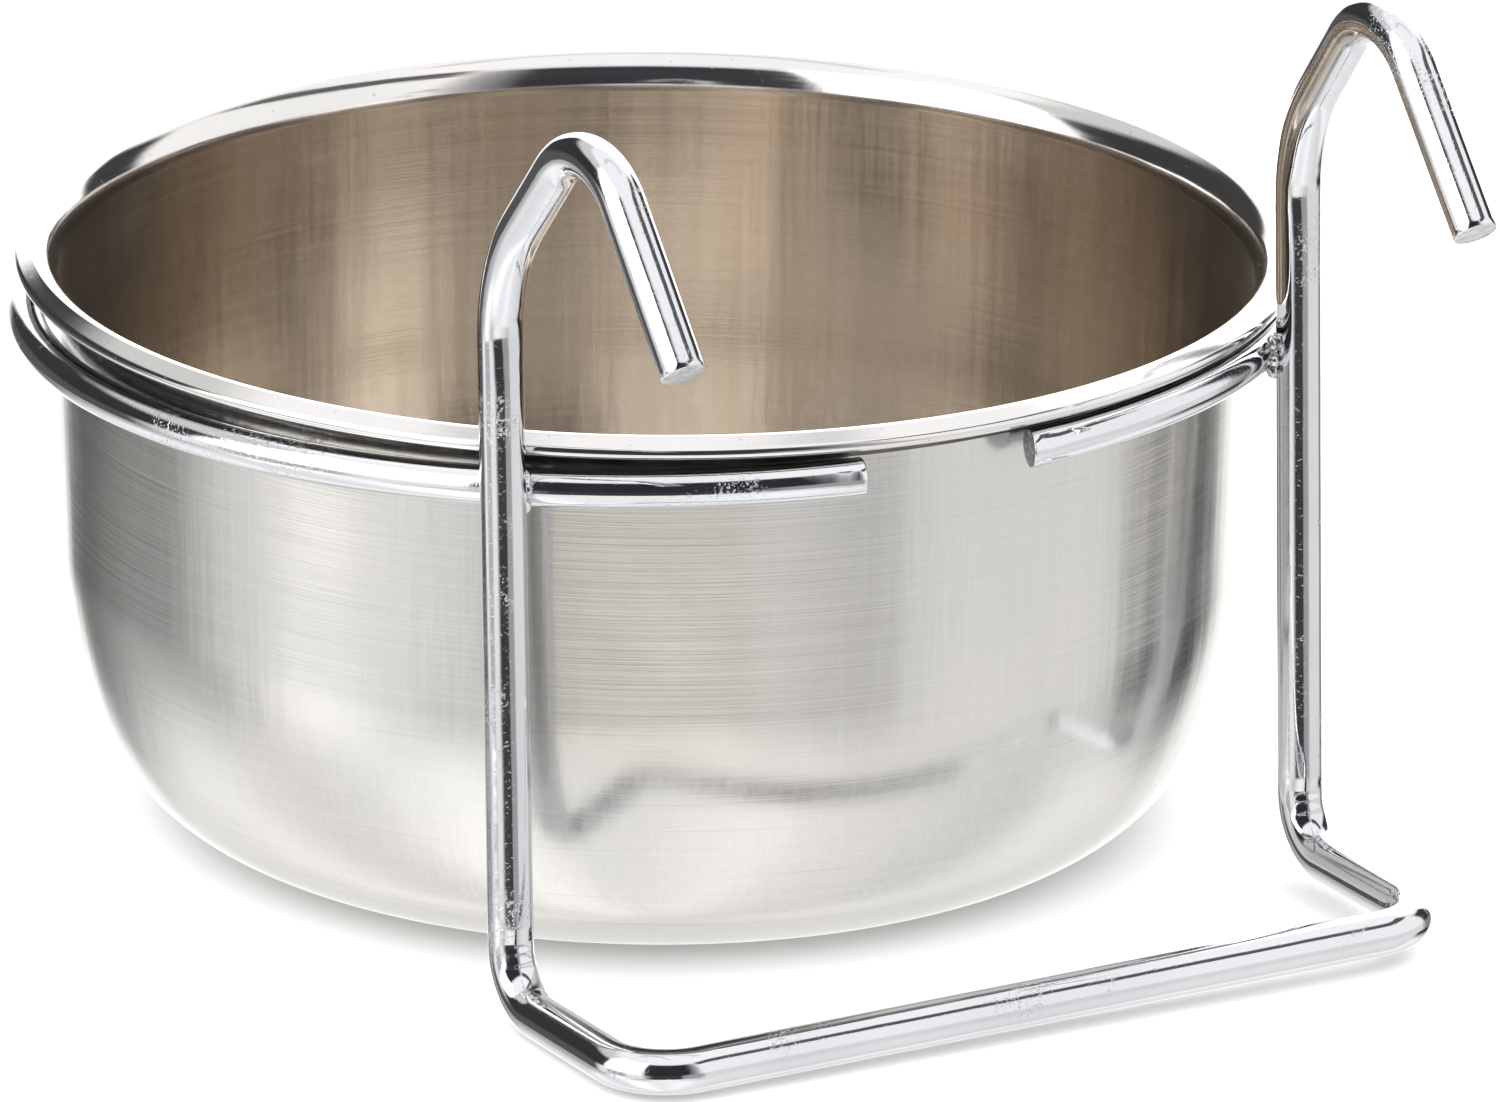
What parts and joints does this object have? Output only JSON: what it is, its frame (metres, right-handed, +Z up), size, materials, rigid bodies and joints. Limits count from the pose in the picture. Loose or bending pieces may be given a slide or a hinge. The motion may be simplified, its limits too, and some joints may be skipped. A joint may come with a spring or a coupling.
{
  "type": "hanging coop cup",
  "caption": "Round drawn steel bowl that drops into a chromed wire holder: an open support ring welded to one bent wire with two hooks and a stand-off bar.",
  "frame": {"origin": "centre of the bowl's flat base, on the surface it stands on", "axes": "+Z up along the bowl's axis, -Y toward the cage, where the two hooks and the stand-off bar are, +X to the right seen from the cage side"},
  "size_m": [0.122, 0.1423, 0.09],
  "materials": {
    "bowl_steel": "fine brushed stainless inside and out, mirror bright on the flared rim",
    "ring_chrome": "bright plated wire",
    "hanger_chrome": "bright plated wire with forming marks at the bends",
    "weld_metal": "lumpy weld metal under the same plating"
  },
  "bodies": {
    "holder": {"support_ring": "ring_chrome", "hanger_wire": "hanger_chrome", "weld_left": "weld_metal", "weld_right": "weld_metal"},
    "cup": {"bowl": "bowl_steel"}
  },
  "joints": [
    {"name": "cup_lift", "type": "slide", "parent": "holder", "child": "cup", "axis": [0, 0, 1], "range_m": [0, 0.092]}
  ]
}
